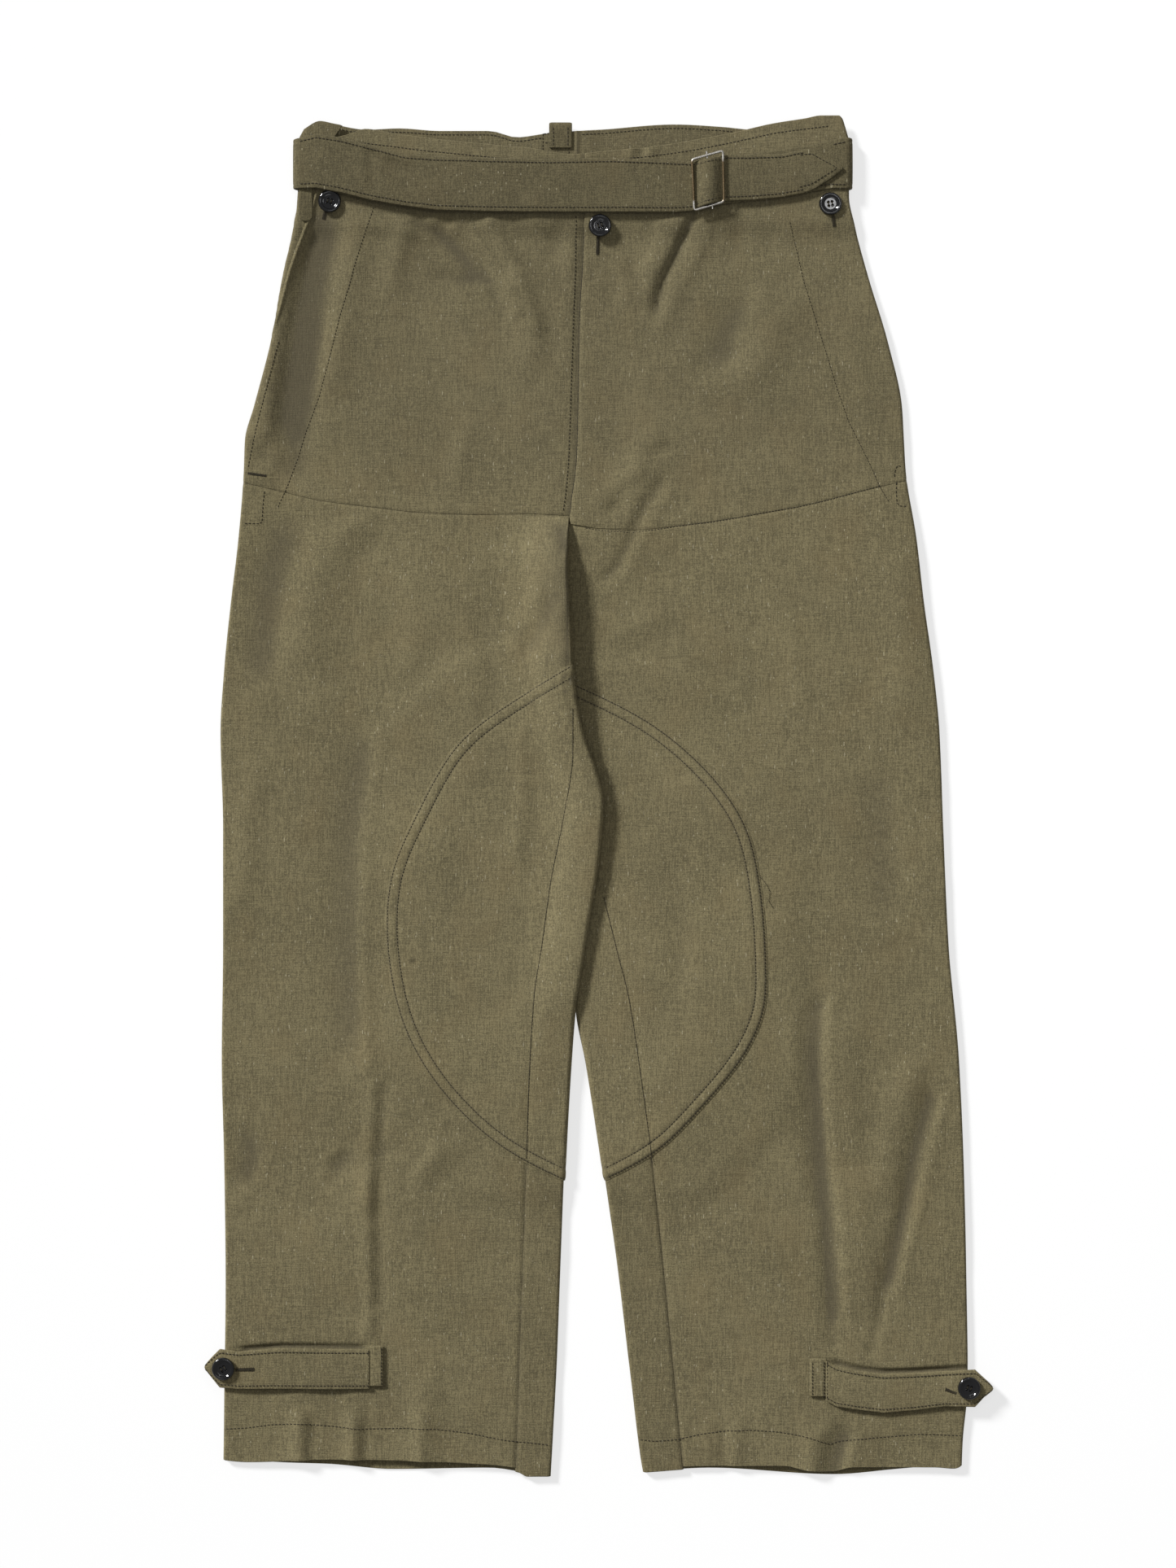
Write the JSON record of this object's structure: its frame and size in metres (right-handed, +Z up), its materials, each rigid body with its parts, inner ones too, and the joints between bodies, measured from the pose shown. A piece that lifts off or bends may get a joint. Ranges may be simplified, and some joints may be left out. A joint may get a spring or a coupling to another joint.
{
  "type": "motorcycle trousers",
  "caption": "Olive canvas riding trousers laid flat, with a buckled cloth belt, button fly, oval inner leg patches and buttoned ankle tabs.",
  "frame": {"origin": "centre of the bounding box in plan, on the surface the trousers lie on", "axes": "+X to the wearer's left, +Y from hem to waist, +Z up out of the cloth"},
  "size_m": [0.6086, 1.0524, 0.0196],
  "materials": {
    "canvas": "matte",
    "button": "gloss",
    "wire": "satin"
  },
  "bodies": {
    "root": {"back_right": "canvas", "front_right": "canvas", "leg_front_right": "canvas", "patch_right": "canvas", "ankle_tab_right": "canvas", "tab_keeper_right": "canvas", "back_left": "canvas", "front_left": "canvas", "leg_front_left": "canvas", "patch_left": "canvas", "ankle_tab_left": "canvas", "tab_keeper_left": "canvas", "belt": "canvas", "loop_centre_back": "canvas", "loop_side_right": "canvas", "buckle": "wire", "button_fly": "button", "button_hip_right": "button", "button_hip_left": "button", "button_ankle_right": "button", "button_ankle_left": "button"}
  },
  "joints": []
}
